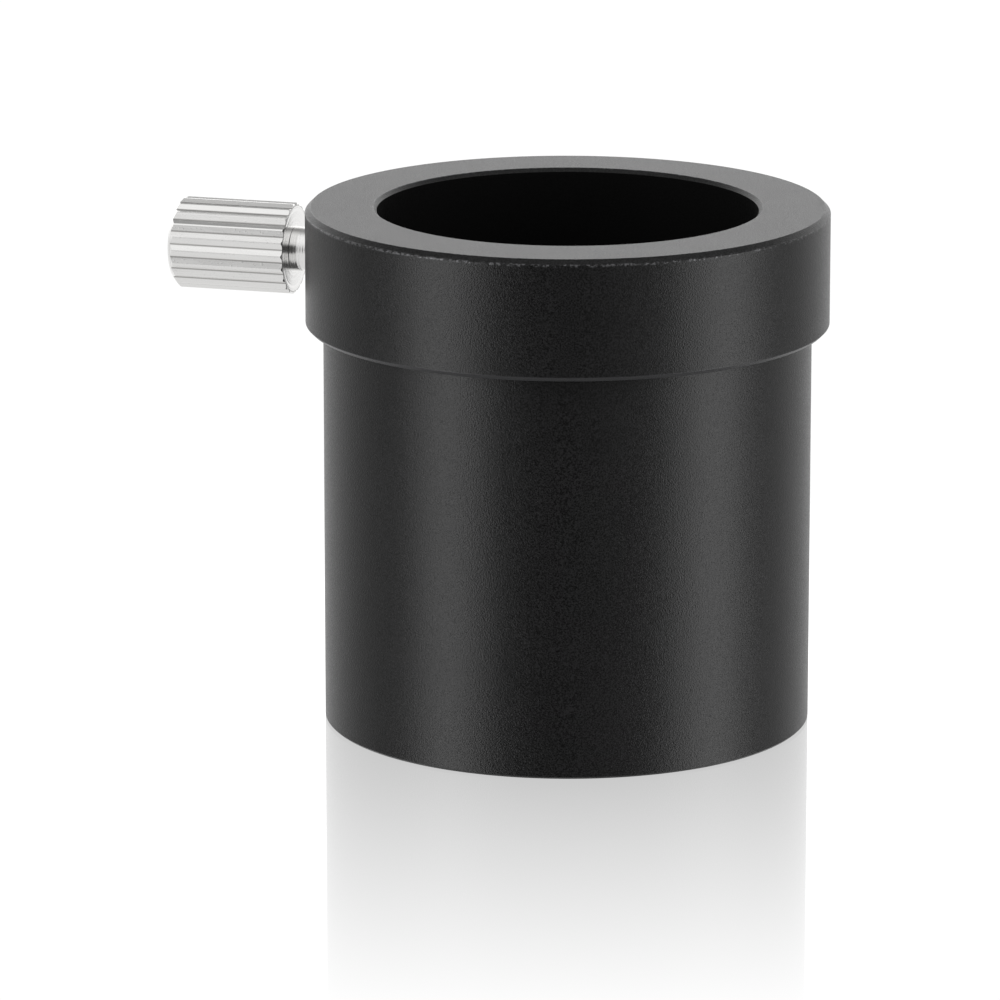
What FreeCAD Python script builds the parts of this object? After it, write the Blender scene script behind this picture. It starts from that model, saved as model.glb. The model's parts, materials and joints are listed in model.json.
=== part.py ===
# Eyepiece adapter: a collared tube that fits a 1.25 in focuser and takes a 0.965 in eyepiece,
# with one fluted thumbscrew in the collar's side that clamps the eyepiece.
# Millimetres. +Z runs up the bore. The origin is on the bore's axis at the tube's lower end,
# and the thumbscrew points to the left (-X) and a little back (+Y).
import FreeCAD
import Part
import math
import os

Vec = FreeCAD.Vector

# Adapter body, turned in one piece
BARREL_D = 31.70
SOCKET_D = 24.70
COLLAR_D = 34.00
TOTAL_HEIGHT = 34.00
COLLAR_HEIGHT = 7.80
COLLAR_TOP_CHAMFER = 0.35
COLLAR_LOWER_BREAK = 0.25
SOCKET_CHAMFER = 0.25
LOWER_END_BREAK = 0.15

# Thumbscrew head, straight-knurled with shallow V flutes
HEAD_D = 6.00
HEAD_LENGTH = 7.95
HEAD_OUTER_CHAMFER = 0.40
HEAD_INNER_BREAK = 0.08
FLUTE_COUNT = 21
FLUTE_DEPTH = 0.18
FLUTE_CREST_WIDTH = 0.10

# Thumbscrew shank: an M4 x 0.7 right-hand thread, a plain relief under the head, a plain point
THREAD_D = 3.94
THREAD_ROOT_D = 3.14
THREAD_LENGTH = 3.20
PITCH = 0.70
PITCH_D = 3.545
FLANK_ANGLE = 30.0
RELIEF_D = 2.90
RELIEF_LENGTH = 1.90
POINT_D = 2.50
POINT_LENGTH = 0.90
POINT_CHAMFER = 0.20

# Tapped hole through the collar's wall
TAP_DRILL_D = 3.30
THREAD_CLEARANCE = 0.05
COUNTERSINK_D = 4.50

# Where the thumbscrew stands at rest
SCREW_BEARING = 164.5
HEAD_GAP = 1.50

# Distances from the bore's axis along the screw's axis, and the screw's height
collar_r = COLLAR_D / 2
socket_r = SOCKET_D / 2
head_start = collar_r + HEAD_GAP
head_end = head_start + HEAD_LENGTH
thread_end = head_start - RELIEF_LENGTH
thread_start = thread_end - THREAD_LENGTH
point_start = thread_start - POINT_LENGTH
shoulder_z = TOTAL_HEIGHT - COLLAR_HEIGHT
screw_z = shoulder_z + COLLAR_HEIGHT / 2


def turned(outline):
    """A solid of revolution about Z from (radius, height) points."""
    points = [Vec(r, 0, z) for r, z in outline]
    face = Part.Face(Part.makePolygon(points + points[:1]))
    return face.revolve(Vec(0, 0, 0), Vec(0, 0, 1), 360)


def threaded_rod(core_r, clearance, extra_turns):
    """A right-hand threaded rod about Z, its flanks grown by clearance. It runs past both ends of
    the screw's thread by whole turns, so the hole cut with one is in phase with the screw."""
    low = thread_start - extra_turns * PITCH
    high = thread_end + extra_turns * PITCH
    slope = math.tan(math.radians(FLANK_ANGLE))
    growth = clearance / math.cos(math.radians(FLANK_ANGLE))

    def half_width(radius):
        return PITCH / 4 + (PITCH_D / 2 - radius) * slope + growth

    root_r = core_r - THREAD_CLEARANCE
    crest_half = half_width(THREAD_D / 2)
    crest_r = THREAD_D / 2 + clearance
    section = Part.makePolygon([
        Vec(root_r, 0, low - half_width(root_r)),
        Vec(crest_r, 0, low - crest_half),
        Vec(crest_r, 0, low + crest_half),
        Vec(root_r, 0, low + half_width(root_r)),
        Vec(root_r, 0, low - half_width(root_r)),
    ])
    path = Part.makeHelix(PITCH, high - low, PITCH_D / 2)
    path.translate(Vec(0, 0, low))
    ridge = Part.Wire(path.Edges).makePipeShell([section], True, True)
    core = Part.makeCylinder(core_r, high - low + 2 * PITCH, Vec(0, 0, low - PITCH))
    return core.fuse(ridge)


def on_screw_axis(shape):
    """Moves a shape from the Z axis to the screw's axis: its +Z points outwards, its +Y up."""
    bearing = math.radians(SCREW_BEARING)
    outward = Vec(math.cos(bearing), math.sin(bearing), 0)
    up = Vec(0, 0, 1)
    side = up.cross(outward)
    placed = shape.copy()
    placed.Placement = FreeCAD.Placement(FreeCAD.Matrix(
        side.x, up.x, outward.x, 0,
        side.y, up.y, outward.y, 0,
        side.z, up.z, outward.z, screw_z,
        0, 0, 0, 1,
    ))
    return placed


def adapter_body():
    """The collared tube, bored through, with the tapped hole in the collar."""
    barrel_r = BARREL_D / 2
    blank = turned([
        (socket_r + LOWER_END_BREAK, 0),
        (barrel_r - LOWER_END_BREAK, 0),
        (barrel_r, LOWER_END_BREAK),
        (barrel_r, shoulder_z),
        (collar_r - COLLAR_LOWER_BREAK, shoulder_z),
        (collar_r, shoulder_z + COLLAR_LOWER_BREAK),
        (collar_r, TOTAL_HEIGHT - COLLAR_TOP_CHAMFER),
        (collar_r - COLLAR_TOP_CHAMFER, TOTAL_HEIGHT),
        (socket_r + SOCKET_CHAMFER, TOTAL_HEIGHT),
        (socket_r, TOTAL_HEIGHT - SOCKET_CHAMFER),
        (socket_r, LOWER_END_BREAK),
    ])
    drill_r = TAP_DRILL_D / 2
    depth = COUNTERSINK_D / 2 - drill_r
    tapped = threaded_rod(drill_r, THREAD_CLEARANCE, extra_turns=3)
    countersink = Part.makeCone(drill_r, drill_r + 2 * depth, 2 * depth, Vec(0, 0, collar_r - depth))
    return blank.cut(on_screw_axis(tapped)).cut(on_screw_axis(countersink))


def fluted_bar():
    """A star-shaped bar about Z. Turned down to the head's diameter, its ridges keep crests of
    the stated width, with V flutes of the stated depth between them."""
    step = 2 * math.pi / FLUTE_COUNT
    flute_r = HEAD_D / 2 - FLUTE_DEPTH
    crest_half = FLUTE_CREST_WIDTH / 2
    crest_x = math.sqrt((HEAD_D / 2) ** 2 - crest_half ** 2)
    flute_x = flute_r * math.cos(step / 2)
    flute_y = flute_r * math.sin(step / 2)
    ridge_r = crest_x + crest_half * (crest_x - flute_x) / (flute_y - crest_half)
    points = []
    for i in range(FLUTE_COUNT):
        for radius, angle in ((ridge_r, i * step), (flute_r, (i + 0.5) * step)):
            points.append(Vec(radius * math.cos(angle), radius * math.sin(angle), head_start))
    section = Part.Face(Part.makePolygon(points + points[:1]))
    return section.extrude(Vec(0, 0, HEAD_LENGTH))


def thumbscrew():
    """The head, relief and thread of the one-piece screw, about Z."""
    head_r = HEAD_D / 2
    relief_r = RELIEF_D / 2
    point_r = POINT_D / 2
    past_crest = THREAD_D / 2 + THREAD_CLEARANCE
    head_blank = turned([
        (0, head_start),
        (head_r - HEAD_INNER_BREAK, head_start),
        (head_r, head_start + HEAD_INNER_BREAK),
        (head_r, head_end - HEAD_OUTER_CHAMFER),
        (head_r - HEAD_OUTER_CHAMFER, head_end),
        (0, head_end),
    ])
    head = head_blank.common(fluted_bar())
    shank_outline = turned([
        (0, thread_start),
        (point_r, thread_start),
        (past_crest, thread_start + past_crest - point_r),
        (past_crest, thread_end - (past_crest - relief_r)),
        (relief_r, thread_end),
        (0, thread_end),
    ])
    thread = threaded_rod(THREAD_ROOT_D / 2, 0, extra_turns=2)
    relief = Part.makeCylinder(relief_r, RELIEF_LENGTH, Vec(0, 0, thread_end))
    return head.fuse([relief, thread.common(shank_outline)])


def thumbscrew_tip():
    """The screw's plain round point, which bears on the eyepiece, about Z."""
    point_r = POINT_D / 2
    return turned([
        (0, point_start),
        (point_r - POINT_CHAMFER, point_start),
        (point_r, point_start + POINT_CHAMFER),
        (point_r, thread_start),
        (0, thread_start),
    ])


nodes = {
    "adapter_body": adapter_body(),
    "thumbscrew": on_screw_axis(thumbscrew()),
    "thumbscrew_tip": on_screw_axis(thumbscrew_tip()),
}

os.makedirs("parts", exist_ok=True)
for name, shape in nodes.items():
    solid = shape.Solids[0]
    solid.exportStep(f"parts/{name}.step")
    print(name, "valid" if solid.isValid() else "NOT VALID", len(shape.Solids), round(solid.Volume, 1))
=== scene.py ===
"""Looks for the telescope eyepiece adapter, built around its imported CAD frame.

The body, the thumbscrew and its point are rebuilt here as finely divided closed meshes of the same
size as their CAD nodes, with rounded edges, a real tapped hole and a real helical thread.
All lengths are in metres, in the CAD frame.
"""

import json
import math

import bmesh
import bpy
from mathutils import Matrix, Vector


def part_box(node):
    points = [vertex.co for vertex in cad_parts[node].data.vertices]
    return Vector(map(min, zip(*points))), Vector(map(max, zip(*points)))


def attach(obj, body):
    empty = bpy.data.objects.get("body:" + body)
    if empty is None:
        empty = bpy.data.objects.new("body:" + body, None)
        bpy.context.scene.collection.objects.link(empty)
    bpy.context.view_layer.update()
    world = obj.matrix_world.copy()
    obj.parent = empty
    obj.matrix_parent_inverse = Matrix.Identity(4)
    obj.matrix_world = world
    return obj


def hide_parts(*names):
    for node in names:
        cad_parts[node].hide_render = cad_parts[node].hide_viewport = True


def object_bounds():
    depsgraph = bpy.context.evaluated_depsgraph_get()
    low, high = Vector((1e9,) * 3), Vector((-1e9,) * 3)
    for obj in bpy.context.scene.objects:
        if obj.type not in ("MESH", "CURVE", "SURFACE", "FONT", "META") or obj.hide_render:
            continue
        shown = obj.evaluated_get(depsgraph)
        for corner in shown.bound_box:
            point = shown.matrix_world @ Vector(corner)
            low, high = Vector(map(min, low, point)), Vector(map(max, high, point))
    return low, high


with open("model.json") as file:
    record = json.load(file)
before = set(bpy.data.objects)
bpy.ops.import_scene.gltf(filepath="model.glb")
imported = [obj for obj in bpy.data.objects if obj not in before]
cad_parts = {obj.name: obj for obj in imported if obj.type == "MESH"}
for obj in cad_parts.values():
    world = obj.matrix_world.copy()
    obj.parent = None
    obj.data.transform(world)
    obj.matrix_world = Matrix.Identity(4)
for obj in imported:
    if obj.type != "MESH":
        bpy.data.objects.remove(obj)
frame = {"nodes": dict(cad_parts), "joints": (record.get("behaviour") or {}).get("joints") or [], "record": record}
cad_low, cad_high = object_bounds()

MM = 0.001
TAU = 2 * math.pi

# ---------------------------------------------------------------- places read from the frame
mounts = {mount["name"]: mount for mount in frame["record"]["mounts"]}
turn_joint = next(joint for joint in frame["joints"] if joint["type"] == "hinge")
body_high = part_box("adapter_body")[1]
collar_r = body_high.x
top_z = body_high.z
shoulder_z = mounts["collar_shoulder"]["pos_m"][2]
socket_r = mounts["eyepiece_socket"]["dims"]["r_mm"] * MM
barrel_r = mounts["barrel"]["dims"]["r_mm"] * MM

outward = Vector(turn_joint["axis"]).normalized()
up = Vector((0, 0, 1))
side = up.cross(outward)
screw_z = turn_joint["pos_m"][2]


def reach(node):
    """A node's nearest and farthest distance from the bore's axis, along the screw's axis."""
    along = [vertex.co.dot(outward) for vertex in frame["nodes"][node].data.vertices]
    return min(along), max(along)


point_start, thread_start = reach("thumbscrew_tip")
head_end = reach("thumbscrew")[1]

# ---------------------------------------------------------------- sizes of the small features
TOP_CHAMFER = 0.35 * MM
COLLAR_BREAK = 0.25 * MM
MOUTH_CHAMFER = 0.25 * MM
LOWER_BREAK = 0.15 * MM
BODY_ROUND = 0.05 * MM

HEAD_R = 3.00 * MM
HEAD_LENGTH = 7.95 * MM
HEAD_CHAMFER = 0.40 * MM
HEAD_BREAK = 0.08 * MM
HEAD_ROUND = 0.03 * MM
FLUTES = 21
FLUTE_DEPTH = 0.18 * MM
FLUTE_ROOT_R = HEAD_R - FLUTE_DEPTH
CREST_WIDTH = 0.10 * MM

THREAD_R = 1.97 * MM
THREAD_ROOT_R = 1.57 * MM
PITCH = 0.70 * MM
PITCH_R = 1.7725 * MM
FLANK_SLOPE = math.tan(math.radians(30))
RELIEF_R = 1.45 * MM
RELIEF_LENGTH = 1.90 * MM
POINT_R = 1.25 * MM
POINT_CHAMFER = 0.20 * MM
DRILL_R = 1.65 * MM
COUNTERSINK_R = 2.25 * MM
CLEARANCE = 0.05 * MM

# ---------------------------------------------------------------- how finely the meshes are divided
BODY_COLUMNS = 512
TIP_COLUMNS = 128
HOLE_COLUMNS = 192
ARC_STEPS = 4
HEAD_ARC_STEPS = 3
FLUTE_FLANK_STEPS = 4
THREAD_FLANK_STEPS = 5
THREAD_FLAT_STEPS = 3
WELD_DISTANCE = 1e-8
SHORTEST_EDGE = 1e-9
BODY_SHARP_DEG = 40
SCREW_SHARP_DEG = 35

# ---------------------------------------------------------------- material slots and colours
BLACK = "black_anodised_aluminium"
BRIGHT = "nickel_plated_brass"
ANODISED_DARK = (0.0, 0.0, 0.0, 1)
ANODISED_LIGHT = (0.0054, 0.0054, 0.0056, 1)
# painted highlight grey for the collar's lower edge break
EDGE_HIGHLIGHT_GREY = (0.024, 0.024, 0.025, 1)
# grey of the worn specks on the top edges, which also serves as a painted edge highlight
WORN_AND_HIGHLIGHT_GREY = (0.06, 0.06, 0.062, 1)
# bore colours, darker than the anodising outside: painted shade in the deep recess
BORE_DARK = (0.0010, 0.0010, 0.0010, 1)
BORE_LIGHT = (0.0022, 0.0022, 0.0022, 1)
NICKEL = (0.80, 0.795, 0.785, 1)
# darker colour in the flute roots
FLUTE_ROOT_GREY = (0.38, 0.375, 0.365, 1)
WHITE = (1, 1, 1, 1)

# ---------------------------------------------------------------- studio
FLOOR_LEVEL = 1.02
POLISH_BY_OBJECT = 0.43
POLISH_FAR_OFF = 0.02
POLISH_RADIUS = 64 * MM
SWEEP_R = 2.2
SWEEP_COLUMNS = 96
SWEEP_ARC_STEPS = 12

FRONT_LEVEL = 0.85
BELOW_LEVEL = 1.08
BEHIND_LEVEL = 1.78
OVERHEAD_FRONT_LEVEL = 1.08
OVERHEAD_BACK_LEVEL = 0.35
ROOM_SHARE = 0.08
ROOM_DIRECTION = Vector((-0.12, -0.97, 0.10))

SOFTBOX_DISTANCE = 0.8
SOFTBOX_HEIGHT = 1.5

LENS_MM = 254.85
CAMERA_PLACE = Vector((0, -0.4487, 0.1260))
CAMERA_AIM = Vector((-0.00438, 0, 0.01438))

# ---------------------------------------------------------------- places along the screw
head_start = head_end - HEAD_LENGTH
thread_end = head_start - RELIEF_LENGTH
screw_turn = Matrix((side, up, outward)).transposed().to_4x4()
screw_place = Matrix.Translation((0, 0, screw_z)) @ screw_turn


# ---------------------------------------------------------------- mesh helpers
def rounded(corners, radius, steps, closed=False):
    """2D points along an outline whose corners are replaced by arcs. radius is one value, or one
    for each corner. An open outline keeps its two end points. A point half a radius beyond each
    end of an arc keeps the straight parts' shading flat."""
    points = []
    for i, corner in enumerate(corners):
        here = Vector(corner)
        r = radius[i] if isinstance(radius, list) else radius
        if r == 0 or (not closed and i in (0, len(corners) - 1)):
            points.append(here)
            continue
        back = (Vector(corners[i - 1]) - here).normalized()
        on = (Vector(corners[(i + 1) % len(corners)]) - here).normalized()
        half = back.angle(on) / 2
        centre = here + (back + on).normalized() * r / math.sin(half)
        start = here + back * r / math.tan(half) - centre
        turn = (here + on * r / math.tan(half) - centre).angle_signed(start)
        arc = [centre + Matrix.Rotation(turn * k / steps, 2) @ start for k in range(steps + 1)]
        points += [arc[0] + back * r / 2, *arc, arc[-1] + on * r / 2]
    return points


def skin(bm, columns, pitch_rows=0):
    """Faces between neighbouring columns of points, closed round from the last to the first. On a
    helix the last column meets the first one pitch_rows rows further on."""
    verts = [[bm.verts.new(point) for point in column] for column in columns]
    for here, after in zip(verts, verts[1:] + [verts[0][pitch_rows:]]):
        for k in range(len(after) - 1):
            bm.faces.new((here[k], after[k], after[k + 1], here[k + 1]))


def mesh_piece(name, bm, place=Matrix.Identity(4)):
    """An object made from the mesh, welded along its seams."""
    bmesh.ops.remove_doubles(bm, verts=bm.verts[:], dist=WELD_DISTANCE)
    bmesh.ops.dissolve_degenerate(bm, edges=bm.edges[:], dist=SHORTEST_EDGE)
    bmesh.ops.recalc_face_normals(bm, faces=bm.faces[:])
    mesh = bpy.data.meshes.new(name)
    bm.to_mesh(mesh)
    bm.free()
    piece = bpy.data.objects.new(name, mesh)
    piece.matrix_world = place
    bpy.context.scene.collection.objects.link(piece)
    return piece


def lathe(bm, outline, columns):
    """Turns an outline of (radius, height) points about Z."""
    turns = [TAU * j / columns for j in range(columns)]
    skin(bm, [[(r * math.cos(t), r * math.sin(t), z) for r, z in outline] for t in turns])


def apply_modifiers(piece):
    """Replaces a piece's mesh by the result of its modifiers."""
    graph = bpy.context.evaluated_depsgraph_get()
    piece.data = bpy.data.meshes.new_from_object(piece.evaluated_get(graph))
    piece.modifiers.clear()


def shade(piece, sharp_deg):
    """Smooth shading in which large faces stay flat up to their small rounded edges. Edges that
    turn by more than sharp_deg stay sharp."""
    piece.data.shade_smooth()
    piece.data.set_sharp_from_angle(angle=math.radians(sharp_deg))
    weighted = piece.modifiers.new("weighted", "WEIGHTED_NORMAL")
    weighted.keep_sharp = True
    weighted.weight = 100
    apply_modifiers(piece)


def thread(bm, angles, low, high, root_r, growth, limit):
    """A right-hand thread about Z whose rows follow the helix, its flanks grown by growth. Spare
    turns at both ends fold flat onto low and high. limit(r, a) trims the radius at distance a
    along the axis."""
    widened = growth / math.cos(math.atan(FLANK_SLOPE))
    crest_half = PITCH / 4 + (PITCH_R - THREAD_R) * FLANK_SLOPE + widened
    root_half = crest_half + (THREAD_R - root_r + growth) * FLANK_SLOPE
    crest_r = THREAD_R + growth
    form = [
        (-PITCH / 2, root_r, THREAD_FLAT_STEPS),
        (-root_half, root_r, THREAD_FLANK_STEPS),
        (-crest_half, crest_r, THREAD_FLAT_STEPS),
        (crest_half, crest_r, THREAD_FLANK_STEPS),
        (root_half, root_r, THREAD_FLAT_STEPS),
        (PITCH / 2, root_r, 0),
    ]
    rows = []
    for (a, r, steps), (next_a, next_r, _) in zip(form, form[1:]):
        for k in range(steps):
            rows.append((a + (next_a - a) * k / steps, r + (next_r - r) * k / steps))
    spare = 2
    first = math.floor((low - thread_start) / PITCH) - spare
    last = math.ceil((high - thread_start) / PITCH) + spare
    columns = []
    for angle in angles:
        column = []
        for turn in range(first, last):
            for shift, r in rows:
                a = thread_start + (turn + angle / TAU) * PITCH + shift
                a = min(max(a, low), high)
                r = limit(r, a)
                column.append((r * math.cos(angle), r * math.sin(angle), a))
        columns.append(column)
    skin(bm, columns, len(rows))


def disc(bm, angles, radii, a):
    """A flat end face about Z: rings of points from the first radius in to the last."""
    skin(bm, [[(r * math.cos(t), r * math.sin(t), a) for r in radii] for t in angles])


# ---------------------------------------------------------------- pieces
def tapped_hole():
    """The space that the tap and the countersink leave in the collar, as a closed mesh."""
    countersink_depth = COUNTERSINK_R - DRILL_R
    cone_low = collar_r - countersink_depth
    low = socket_r - PITCH
    high = collar_r + countersink_depth

    def limit(r, a):
        return DRILL_R if a == low else max(r, DRILL_R + a - cone_low)

    bm = bmesh.new()
    angles = [TAU * j / HOLE_COLUMNS for j in range(HOLE_COLUMNS)]
    thread(bm, angles, low, high, DRILL_R, CLEARANCE, limit)
    disc(bm, angles, (DRILL_R, 0), low)
    disc(bm, angles, (DRILL_R + high - cone_low, 0), high)
    return mesh_piece("tapped_hole", bm, screw_place)


def body():
    """The collared tube, turned in one piece, with the tapped hole through the collar. The bore's
    faces get its second material."""
    corners = [
        (socket_r + LOWER_BREAK, 0),
        (barrel_r - LOWER_BREAK, 0),
        (barrel_r, LOWER_BREAK),
        (barrel_r, shoulder_z),
        (collar_r - COLLAR_BREAK, shoulder_z),
        (collar_r, shoulder_z + COLLAR_BREAK),
        (collar_r, top_z - TOP_CHAMFER),
        (collar_r - TOP_CHAMFER, top_z),
        (socket_r + MOUTH_CHAMFER, top_z),
        (socket_r, top_z - MOUTH_CHAMFER),
        (socket_r, LOWER_BREAK),
    ]
    outline = rounded(corners, BODY_ROUND, ARC_STEPS, closed=True)
    bm = bmesh.new()
    lathe(bm, outline + outline[:1], BODY_COLUMNS)
    piece = mesh_piece("anodised_body", bm)
    hole = tapped_hole()
    cut = piece.modifiers.new("tap", "BOOLEAN")
    cut.operation = "DIFFERENCE"
    cut.object = hole
    cut.solver = "EXACT"
    apply_modifiers(piece)
    bpy.data.objects.remove(hole)
    slack = BODY_ROUND / 5
    on_bore = [abs(vertex.co.xy.length - socket_r) < slack for vertex in piece.data.vertices]
    for face in piece.data.polygons:
        face.material_index = int(all(on_bore[i] for i in face.vertices))
    return piece


def flute_section():
    """(radius, angle) points round the head's section: flat crests with V flutes between them."""
    step = TAU / FLUTES
    crest_half = math.asin(CREST_WIDTH / 2 / HEAD_R)
    corners = []
    for i in range(FLUTES):
        for r, shift in ((HEAD_R, -crest_half), (HEAD_R, crest_half), (FLUTE_ROOT_R, step / 2)):
            angle = i * step + shift
            corners.append((r * math.cos(angle), r * math.sin(angle)))
    outline = rounded(corners, HEAD_ROUND, HEAD_ARC_STEPS, closed=True)
    section = []
    for here, after in zip(outline, outline[1:] + outline[:1]):
        steps = FLUTE_FLANK_STEPS if (after - here).length > CREST_WIDTH else 1
        for k in range(steps):
            point = here.lerp(after, k / steps)
            section.append((point.length, math.atan2(point.y, point.x) % TAU))
    return sorted(section, key=lambda point: point[1])


def head_outline(r):
    """(radius, a) points from the thread's end, along the neck and the head, to the axis, where
    the head's section has radius r. The inner break is cut straight across the flutes, but a small
    one is kept at their roots. The point halfway in keeps the outer end face's shading flat."""
    least_break = HEAD_BREAK / 4
    inner_break = max(r - (HEAD_R - HEAD_BREAK), least_break)
    outer_chamfer = r - (HEAD_R - HEAD_CHAMFER)
    corners = [
        (RELIEF_R, thread_end),
        (RELIEF_R, head_start),
        (r - inner_break, head_start),
        (r, head_start + inner_break),
        (r, head_end - outer_chamfer),
        (r - outer_chamfer, head_end),
        (HEAD_R / 2, head_end),
        (0, head_end),
    ]
    break_round = HEAD_BREAK / 8
    radii = [0, HEAD_ROUND, break_round, break_round, HEAD_ROUND, HEAD_ROUND, 0, 0]
    return rounded(corners, radii, HEAD_ARC_STEPS)


def thumbscrew():
    """The fluted head, the neck and the thread of the one-piece screw, about local Z."""

    def limit(r, a):
        return min(r, POINT_R + a - thread_start, RELIEF_R + thread_end - a)

    section = flute_section()
    angles = [angle for _, angle in section]
    bm = bmesh.new()
    columns = []
    for full_r, angle in section:
        x, y = math.cos(angle), math.sin(angle)
        columns.append([(r * x, r * y, a) for r, a in head_outline(full_r)])
    skin(bm, columns)
    thread(bm, angles, thread_start, thread_end, THREAD_ROOT_R, 0, limit)
    disc(bm, angles, (POINT_R, POINT_R / 2, 0), thread_start)
    return mesh_piece("fluted_thumbscrew", bm, screw_place)


def screw_point():
    """The screw's plain round point, about local Z."""
    corners = [
        (0, point_start),
        (POINT_R / 2, point_start),
        (POINT_R - POINT_CHAMFER, point_start),
        (POINT_R, point_start + POINT_CHAMFER),
        (POINT_R, thread_start),
        (0, thread_start),
    ]
    bm = bmesh.new()
    lathe(bm, rounded(corners, [0, 0, HEAD_ROUND, HEAD_ROUND, 0, 0], ARC_STEPS), TIP_COLUMNS)
    return mesh_piece("screw_point", bm, screw_place)


# ---------------------------------------------------------------- node helpers
class Tree:
    """Short ways to add nodes to a material's or the world's node tree."""

    def __init__(self, owner):
        owner.use_nodes = True
        self.tree = owner.node_tree
        self.tree.nodes.clear()

    def add(self, kind, inputs=None, **settings):
        """A node, with its settings, and its inputs as values or as sockets to link."""
        made = self.tree.nodes.new("ShaderNode" + kind)
        for name, value in settings.items():
            setattr(made, name, value)
        for name, value in (inputs or {}).items():
            if isinstance(value, bpy.types.NodeSocket):
                self.tree.links.new(value, made.inputs[name])
            else:
                made.inputs[name].default_value = value
        return made

    def math(self, operation, *values):
        return self.add("Math", dict(enumerate(values)), operation=operation).outputs[0]

    def smooth(self, value, low, high, to_low=0.0, to_high=1.0):
        """value eased from (low, high) to (to_low, to_high), and held there outside."""
        inputs = {0: value, 1: low, 2: high, 3: to_low, 4: to_high}
        return self.add("MapRange", inputs, interpolation_type="SMOOTHSTEP").outputs[0]

    def mix(self, share, first, second):
        inputs = {0: share, 2: first, 3: second}
        return self.add("Mix", inputs, data_type="FLOAT").outputs[0]

    def mix_colour(self, share, first, second):
        inputs = {0: share, 6: first, 7: second}
        return self.add("Mix", inputs, data_type="RGBA").outputs[2]

    def noise(self, vector, scale, detail, roughness):
        inputs = {"Vector": vector, "Scale": scale, "Detail": detail, "Roughness": roughness}
        return self.add("TexNoise", inputs).outputs[0]

    def coordinates(self):
        """The place on the piece in its own frame, whole and as x, y and z."""
        place = self.add("TexCoord").outputs["Object"]
        return place, *self.add("SeparateXYZ", {0: place}).outputs[:3]

    def radius(self, x, y):
        squares = self.math("MULTIPLY", x, x), self.math("MULTIPLY", y, y)
        return self.math("SQRT", self.math("ADD", *squares))

    def near_ring(self, rho, z, ring_r, ring_z, far, near):
        """1 within near of a ring about Z, easing to 0 at distance far."""
        away = self.radius(self.math("SUBTRACT", rho, ring_r), self.math("SUBTRACT", z, ring_z))
        return self.smooth(away, far, near)

    def bump(self, height, distance):
        inputs = {"Strength": 1.0, "Distance": distance, "Height": height}
        return self.add("Bump", inputs).outputs[0]

    def surface(self, shader):
        self.add("OutputMaterial", {"Surface": shader.outputs[0]})


# ---------------------------------------------------------------- materials
def black_anodised():
    """Bead-blasted aluminium under black anodising: a fine grain, a cloudy sheen, upper edges
    where handling has begun to bare the metal in specks, lightened also as a painted edge highlight,
    more of them on the left, the screw's side, and a painted highlight along the collar's lower edge."""
    material = bpy.data.materials.new("black_anodised")
    t = Tree(material)
    place, x, y, z = t.coordinates()
    rho = t.radius(x, y)
    grain = t.noise(place, scale=11000, detail=1.0, roughness=0.6)
    fleck = t.noise(place, scale=10000, detail=1.0, roughness=0.5)
    cloud = t.noise(place, scale=350, detail=3.0, roughness=0.6)
    mottle = t.mix(0.1, fleck, cloud)
    colour = t.mix_colour(t.smooth(mottle, 0.35, 0.65), ANODISED_DARK, ANODISED_LIGHT)

    half_break = COLLAR_BREAK / 2
    lower_edge = (collar_r - half_break, shoulder_z + half_break)
    # Painted highlight: the collar's lower edge break lightened to a grey line.
    painted_edge_highlight = t.near_ring(rho, z, *lower_edge, far=0.24 * MM, near=0.14 * MM)
    colour = t.mix_colour(painted_edge_highlight, colour, EDGE_HIGHLIGHT_GREY)

    edges = 0.0
    for ring_r, ring_z, wide in (
        (collar_r, top_z - TOP_CHAMFER, 0.14 * MM),
        (collar_r - TOP_CHAMFER, top_z, 0.05 * MM),
        (socket_r + MOUTH_CHAMFER, top_z, 0.08 * MM),
    ):
        edge = t.near_ring(rho, z, ring_r, ring_z, far=wide, near=wide / 3)
        edges = t.math("MAXIMUM", edges, edge)
    speckle = t.noise(place, scale=4800, detail=2.0, roughness=0.6)
    # More specks towards the left, the screw's side: a stronger painted edge highlight there.
    more_specks_and_highlight_on_left = t.smooth(x, -2 * MM, -12 * MM, -0.03, 0.07)
    specks = t.smooth(t.math("ADD", speckle, more_specks_and_highlight_on_left), 0.46, 0.66)
    # Worn specks of bared metal, whose lighter grey is also a painted highlight along the top edges.
    worn_and_highlight = t.math("MULTIPLY", edges, specks)

    shader = t.add("BsdfPrincipled", {
        "Base Color": t.mix_colour(worn_and_highlight, colour, WORN_AND_HIGHLIGHT_GREY),
        "Metallic": t.math("MULTIPLY", worn_and_highlight, 0.6),
        "Roughness": t.smooth(mottle, 0.35, 0.65, 0.30, 0.39),
        "IOR": 1.25,
        "Normal": t.bump(grain, 0.022 * MM),
    })
    t.surface(shader)
    return material


def flat_black():
    """The bore's dead black: the same anodising over a coarse finish, with a colour darker than outside that is
    painted shade for the deep recess.
    """
    material = bpy.data.materials.new("flat_black")
    t = Tree(material)
    place = t.coordinates()[0]
    grain = t.noise(place, scale=5000, detail=3.0, roughness=0.6)
    shader = t.add("BsdfPrincipled", {
        "Base Color": t.mix_colour(grain, BORE_DARK, BORE_LIGHT),
        "Roughness": t.smooth(grain, 0.3, 0.7, 0.65, 0.85),
        "IOR": 1.08,
        "Normal": t.bump(grain, 0.03 * MM),
    })
    t.surface(shader)
    return material


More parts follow.
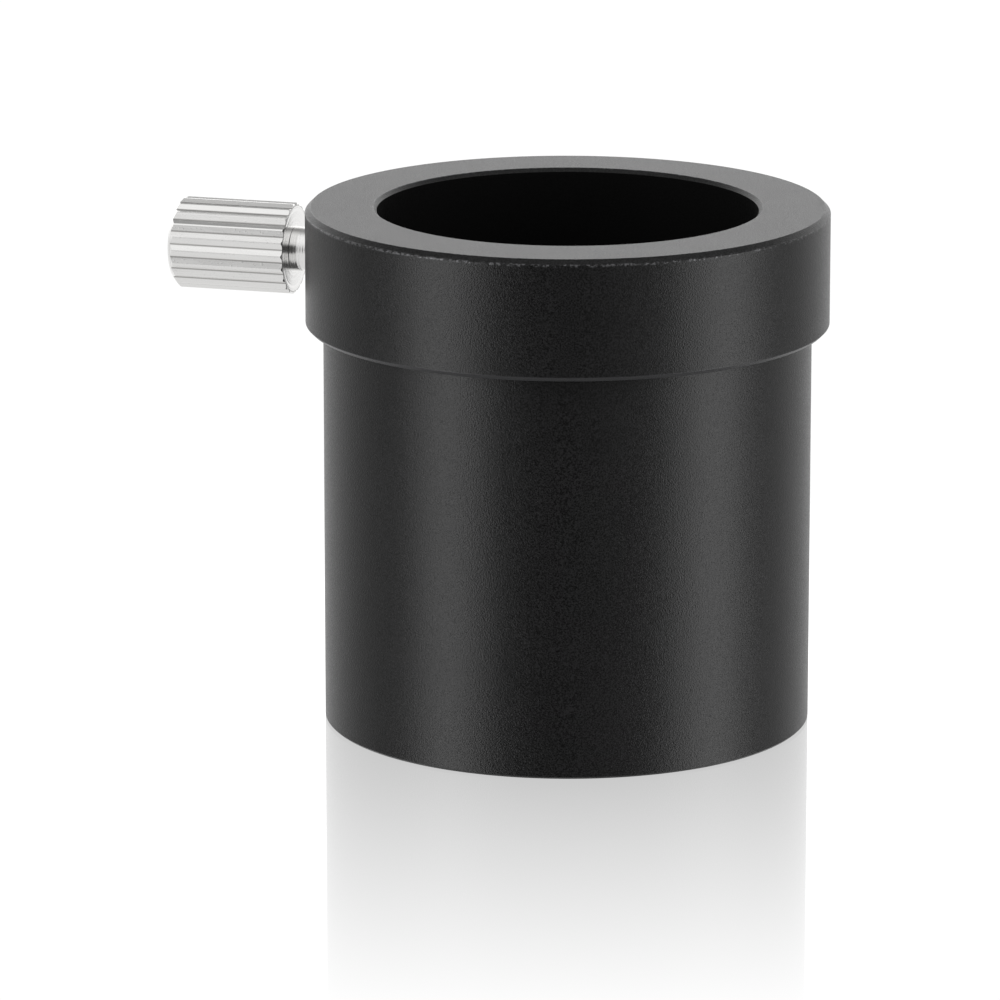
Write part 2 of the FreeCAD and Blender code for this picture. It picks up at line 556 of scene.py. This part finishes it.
def nickel_plate():
    """Bright nickel plate over turned and knurled brass: rings on the turned neck and faces, fine
    streaks and pits along the flutes, a darker colour in their roots. Works in the screw's own frame."""
    material = bpy.data.materials.new("nickel_plate")
    t = Tree(material)
    place, x, y, z = t.coordinates()
    rho = t.radius(x, y)
    rings = t.add("CombineXYZ", {0: rho, 1: z}).outputs[0]
    turned = t.noise(rings, scale=6500, detail=2.0, roughness=0.7)
    stretched = t.add("Mapping", {"Vector": place, "Scale": (1, 1, 0.05)}).outputs[0]
    streaks = t.noise(stretched, scale=9000, detail=2.0, roughness=0.6)
    pitting = t.noise(place, scale=5200, detail=1.0, roughness=0.5)
    pits = t.smooth(pitting, 0.60, 0.72)
    knurled = t.math("ADD", t.math("MULTIPLY", streaks, 0.2), t.math("MULTIPLY", pits, 0.3))

    off_axis = t.smooth(rho, FLUTE_ROOT_R - 0.04 * MM, FLUTE_ROOT_R - 0.01 * MM)
    off_end = t.smooth(z, head_end - 0.15 * MM, head_end - 0.3 * MM)
    on_flutes = t.math("MULTIPLY", off_axis, off_end)
    in_roots = t.smooth(rho, FLUTE_ROOT_R + 0.035 * MM, FLUTE_ROOT_R + 0.005 * MM)
    turned_roughness = t.smooth(turned, 0.3, 0.7, 0.08, 0.20)
    flute_roughness = t.smooth(streaks, 0.3, 0.7, 0.16, 0.28)

    shader = t.add("BsdfPrincipled", {
        # the flute roots get a darker base colour
        "Base Color": t.mix_colour(t.math("MULTIPLY", on_flutes, in_roots), NICKEL, FLUTE_ROOT_GREY),
        "Metallic": 1.0,
        "Roughness": t.mix(on_flutes, turned_roughness, flute_roughness),
        "Normal": t.bump(t.mix(on_flutes, turned, knurled), 0.010 * MM),
    })
    t.surface(shader)
    return material


def light_table():
    """A plain white floor, lit from within. Its polish fades away from the object."""
    material = bpy.data.materials.new("light_table")
    t = Tree(material)
    _, x, y, _ = t.coordinates()
    fade = {0: t.radius(x, y), 1: barrel_r, 2: POLISH_RADIUS, 3: POLISH_BY_OBJECT, 4: POLISH_FAR_OFF}
    polish = t.add("MapRange", fade).outputs[0]
    glow = t.add("Emission", {"Color": WHITE, "Strength": FLOOR_LEVEL})
    gloss = t.add("BsdfGlossy", {"Color": WHITE, "Roughness": 0.03})
    t.surface(t.add("MixShader", {0: polish, 1: glow.outputs[0], 2: gloss.outputs[0]}))
    return material


# ---------------------------------------------------------------- floor, lights and camera
def floor():
    """A large round white floor at the height the object stands on, swept up into a wall. The
    screw and the body mirror the studio's walls, not this floor."""
    corners = [(0, 0), (SWEEP_R, 0), (SWEEP_R, SWEEP_R)]
    bm = bmesh.new()
    lathe(bm, rounded(corners, SWEEP_R / 3, SWEEP_ARC_STEPS), SWEEP_COLUMNS)
    piece = mesh_piece("floor", bm, Matrix.Translation((0, 0, cad_low.z)))
    piece.data.materials.append(light_table())
    piece.visible_glossy = False


def softbox(name, azimuth_deg, width, power):
    """A tall soft light aimed level at the object. Azimuth 0 is in front of the object and 90 to
    its right. It lights only the black body, because it would burn out the bright screw."""
    light = bpy.data.lights.new(name, "AREA")
    light.shape = "RECTANGLE"
    light.size = width
    light.size_y = SOFTBOX_HEIGHT
    light.energy = power
    lamp = bpy.data.objects.new(name, light)
    azimuth = math.radians(azimuth_deg)
    away = Vector((math.sin(azimuth), -math.cos(azimuth), 0))
    place = (cad_low + cad_high) / 2 + away * SOFTBOX_DISTANCE
    facing = away.to_track_quat("Z", "Y").to_matrix().to_4x4()
    lamp.matrix_world = Matrix.Translation(place) @ facing
    lamp.visible_camera = False
    lamp.light_linking.receiver_collection = bpy.data.collections[BLACK]
    bpy.context.scene.collection.objects.link(lamp)


def studio_walls():
    """The pale surroundings that the object mirrors. They are brightest behind the object, and
    overhead they grow duller from front to back. In front, a little to the left, is a dark room.
    The direction's y points away from the camera and its z points up."""
    world = bpy.data.worlds.new("studio")
    bpy.context.scene.world = world
    t = Tree(world)
    direction = t.add("TexCoord").outputs["Generated"]
    _, y, z = t.add("SeparateXYZ", {0: direction}).outputs[:3]
    behind = t.smooth(z, -0.12, 0.12, BELOW_LEVEL, BEHIND_LEVEL)
    low = t.mix(t.smooth(y, 0.3, 0.95), FRONT_LEVEL, behind)
    overhead = t.smooth(y, -0.2, 0.5, OVERHEAD_FRONT_LEVEL, OVERHEAD_BACK_LEVEL)
    around = t.mix(t.smooth(z, 0.35, 0.75), low, overhead)
    towards_room = {0: direction, 1: ROOM_DIRECTION}
    room = t.add("VectorMath", towards_room, operation="DOT_PRODUCT").outputs["Value"]
    level = t.math("MULTIPLY", around, t.smooth(room, 0.85, 0.95, 1.0, ROOM_SHARE))
    background = t.add("Background", {"Color": WHITE, "Strength": level})
    t.add("OutputWorld", {"Surface": background.outputs[0]})


def camera():
    """A long lens a little above the object, looking slightly left of its axis."""
    lens = bpy.data.cameras.new("camera")
    lens.sensor_width = 36
    lens.lens = LENS_MM
    lens.clip_start = 0.01
    holder = bpy.data.objects.new("camera", lens)
    holder.location = CAMERA_PLACE
    holder.rotation_euler = (CAMERA_AIM - CAMERA_PLACE).to_track_quat("-Z", "Y").to_euler()
    bpy.context.scene.collection.objects.link(holder)
    bpy.context.scene.camera = holder


# ---------------------------------------------------------------- assembly
def put(piece, body_name, node, slot, materials, sharp_deg):
    """Finishes a piece, hangs it on its body and lets it stand for its CAD node. Each slot's
    pieces also form a collection, which the softboxes use to light only the black body."""
    shade(piece, sharp_deg)
    for material in materials:
        piece.data.materials.append(material)
    collection = bpy.data.collections.get(slot) or bpy.data.collections.new(slot)
    collection.objects.link(piece)
    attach(piece, body_name)
    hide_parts(node)


nickel = nickel_plate()
put(body(), "adapter", "adapter_body", BLACK, [black_anodised(), flat_black()], BODY_SHARP_DEG)
put(thumbscrew(), "screw", "thumbscrew", BRIGHT, [nickel], SCREW_SHARP_DEG)
put(screw_point(), "screw_travel", "thumbscrew_tip", BRIGHT, [nickel], SCREW_SHARP_DEG)

camera()
floor()
studio_walls()
softbox("left_softbox", azimuth_deg=-57, width=0.38, power=14)
softbox("right_softbox", azimuth_deg=71.5, width=0.42, power=13.5)
bpy.context.scene.view_settings.view_transform = "Standard"
